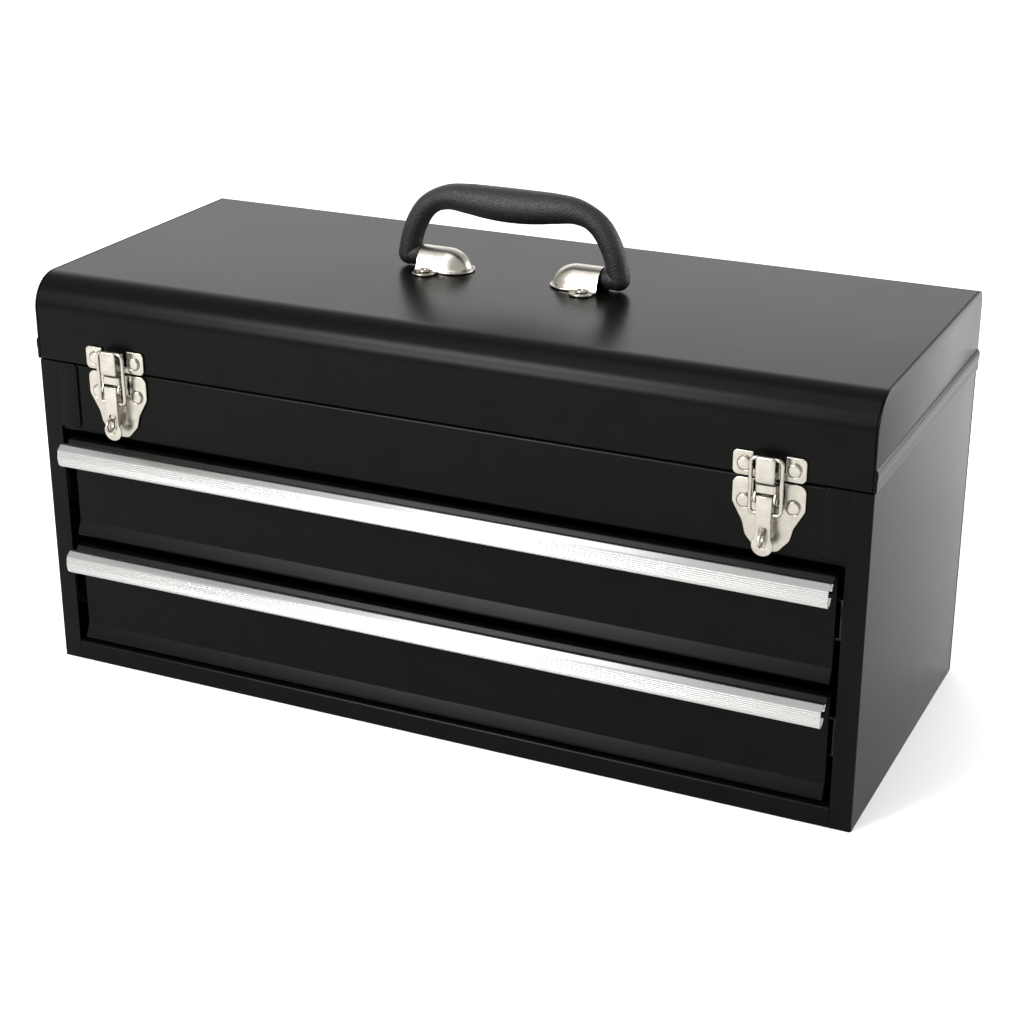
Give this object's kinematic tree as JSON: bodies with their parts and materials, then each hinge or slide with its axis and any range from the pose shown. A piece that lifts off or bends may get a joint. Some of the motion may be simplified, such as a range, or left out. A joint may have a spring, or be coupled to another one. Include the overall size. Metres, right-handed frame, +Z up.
{
  "type": "tool chest",
  "caption": "Portable steel tool chest with two drawers on ball slides, a hinged lid over a top compartment, toggle latches and a folding handle.",
  "frame": {"origin": "middle of the underside that the case stands on", "axes": "+X along the width to the right, +Y to the hinge at the back, +Z up"},
  "size_m": [0.5126, 0.2331, 0.2988],
  "materials": {
    "black_paint": "satin black powder coat on sheet steel",
    "aluminium": "satin anodised extrusion with fine ribs",
    "nickel": "nickel plated stamped steel",
    "zinc_steel": "bright zinc plate",
    "grip_plastic": "fine grained moulded plastic"
  },
  "bodies": {
    "case": {"right_side_panel": "black_paint", "left_side_panel": "black_paint", "back_panel": "black_paint", "bottom_panel": "black_paint", "compartment_floor": "black_paint", "front_rail": "black_paint", "bottom_rail": "black_paint", "hinge_lower_leaf": "black_paint", "hinge_pin": "zinc_steel", "upper_right_outer_channel": "zinc_steel", "upper_left_outer_channel": "zinc_steel", "lower_right_outer_channel": "zinc_steel", "lower_left_outer_channel": "zinc_steel", "left_latch_base": "nickel", "left_latch_staple": "nickel", "left_lever_pin": "nickel", "left_base_rivet_inner": "nickel", "left_base_rivet_outer": "nickel", "right_latch_base": "nickel", "right_latch_staple": "nickel", "right_lever_pin": "nickel", "right_base_rivet_inner": "nickel", "right_base_rivet_outer": "nickel"},
    "lid": {"lid_cover": "black_paint", "lid_right_end": "black_paint", "lid_left_end": "black_paint", "hinge_upper_leaf": "black_paint", "left_latch_catch": "nickel", "left_catch_rivet_inner": "nickel", "left_catch_rivet_outer": "nickel", "right_latch_catch": "nickel", "right_catch_rivet_inner": "nickel", "right_catch_rivet_outer": "nickel", "right_handle_bracket": "nickel", "left_handle_bracket": "nickel", "left_bracket_rivet_front": "nickel", "left_bracket_rivet_rear": "nickel", "right_bracket_rivet_front": "nickel", "right_bracket_rivet_rear": "nickel"},
    "handle": {"handle": "grip_plastic"},
    "upper_drawer": {"upper_drawer_front": "black_paint", "upper_drawer_tray": "black_paint", "upper_drawer_pull": "aluminium", "upper_left_inner_channel": "zinc_steel", "upper_right_inner_channel": "zinc_steel"},
    "lower_drawer": {"lower_drawer_front": "black_paint", "lower_drawer_tray": "black_paint", "lower_drawer_pull": "aluminium", "lower_left_inner_channel": "zinc_steel", "lower_right_inner_channel": "zinc_steel"},
    "upper_cages": {"upper_left_ball_cage": "zinc_steel", "upper_right_ball_cage": "zinc_steel"},
    "lower_cages": {"lower_left_ball_cage": "zinc_steel", "lower_right_ball_cage": "zinc_steel"},
    "left_lever": {"left_latch_lever": "nickel"},
    "right_lever": {"right_latch_lever": "nickel"},
    "left_bail": {"left_latch_bail": "nickel"},
    "right_bail": {"right_latch_bail": "nickel"}
  },
  "joints": [
    {"name": "lid_hinge", "type": "hinge", "parent": "case", "child": "lid", "pos_m": [0, 0.1096, 0.19545], "axis": [-1, 0, 0], "range_deg": [0, 100]},
    {"name": "handle_swing", "type": "hinge", "parent": "lid", "child": "handle", "pos_m": [0, 0.011, 0.2526], "axis": [1, 0, 0], "range_deg": [-85, 85]},
    {"name": "upper_drawer_slide", "type": "slide", "parent": "case", "child": "upper_drawer", "axis": [0, -1, 0], "range_m": [0, 0.145]},
    {"name": "upper_cage_slide", "type": "slide", "parent": "case", "child": "upper_cages", "axis": [0, -1, 0], "range_m": [0, 0.0725]},
    {"name": "lower_drawer_slide", "type": "slide", "parent": "case", "child": "lower_drawer", "axis": [0, -1, 0], "range_m": [0, 0.145]},
    {"name": "lower_cage_slide", "type": "slide", "parent": "case", "child": "lower_cages", "axis": [0, -1, 0], "range_m": [0, 0.0725]},
    {"name": "left_lever_pivot", "type": "hinge", "parent": "case", "child": "left_lever", "pos_m": [-0.2, -0.1124, 0.1857], "axis": [-1, 0, 0], "range_deg": [0, 110]},
    {"name": "left_bail_pivot", "type": "hinge", "parent": "left_lever", "child": "left_bail", "pos_m": [-0.2, -0.1124, 0.1775], "axis": [-1, 0, 0], "range_deg": [-85.8, 0]},
    {"name": "right_lever_pivot", "type": "hinge", "parent": "case", "child": "right_lever", "pos_m": [0.2, -0.1124, 0.1857], "axis": [-1, 0, 0], "range_deg": [0, 110]},
    {"name": "right_bail_pivot", "type": "hinge", "parent": "right_lever", "child": "right_bail", "pos_m": [0.2, -0.1124, 0.1775], "axis": [-1, 0, 0], "range_deg": [-85.8, 0]}
  ],
  "couplings": [
    {"joint": "upper_cage_slide", "follows": "upper_drawer_slide", "ratio": 0.5},
    {"joint": "lower_cage_slide", "follows": "lower_drawer_slide", "ratio": 0.5},
    {"joint": "left_bail_pivot", "follows": "left_lever_pivot", "ratio": -0.78},
    {"joint": "right_bail_pivot", "follows": "right_lever_pivot", "ratio": -0.78}
  ]
}
